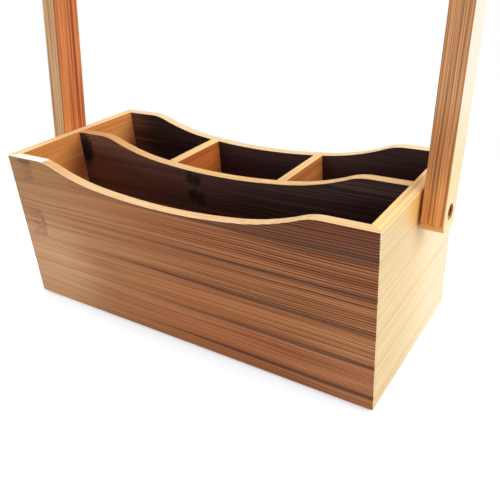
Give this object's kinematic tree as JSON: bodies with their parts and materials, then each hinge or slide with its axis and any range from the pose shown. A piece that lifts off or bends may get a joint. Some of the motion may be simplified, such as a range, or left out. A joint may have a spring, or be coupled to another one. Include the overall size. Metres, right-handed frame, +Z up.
{
  "type": "flatware caddy",
  "caption": "Open bamboo caddy with scooped sides, a long front bin, a divided back row and a swinging carrying handle, for standing cutlery and kitchen utensils.",
  "frame": {"origin": "middle of the box's footprint, on the table", "axes": "+X to the right along the box, +Y to the back where the row of three compartments is, +Z up"},
  "size_m": [0.309, 0.126, 0.25],
  "materials": {
    "bamboo_board": "satin lacquer over laminated caramel bamboo strips",
    "bamboo_handle": "satin lacquer over bamboo, grain along the piece",
    "screw_steel": "dark zinc plating",
    "washer_steel": "dull plated steel"
  },
  "bodies": {
    "box": {"front_panel": "bamboo_board", "back_panel": "bamboo_board", "left_end_panel": "bamboo_board", "right_end_panel": "bamboo_board", "base_panel": "bamboo_board", "centre_divider": "bamboo_board", "left_cross_divider": "bamboo_board", "right_cross_divider": "bamboo_board", "left_pivot_washer": "washer_steel", "right_pivot_washer": "washer_steel", "left_pivot_screw": "screw_steel", "right_pivot_screw": "screw_steel"},
    "handle": {"left_handle_post": "bamboo_handle", "right_handle_post": "bamboo_handle", "grip": "bamboo_handle", "left_grip_screw": "screw_steel", "right_grip_screw": "screw_steel"}
  },
  "joints": [
    {"name": "handle_swing", "type": "hinge", "parent": "box", "child": "handle", "pos_m": [0, 0.001, 0.102], "axis": [1, 0, 0], "range_deg": [-119, 137]}
  ]
}
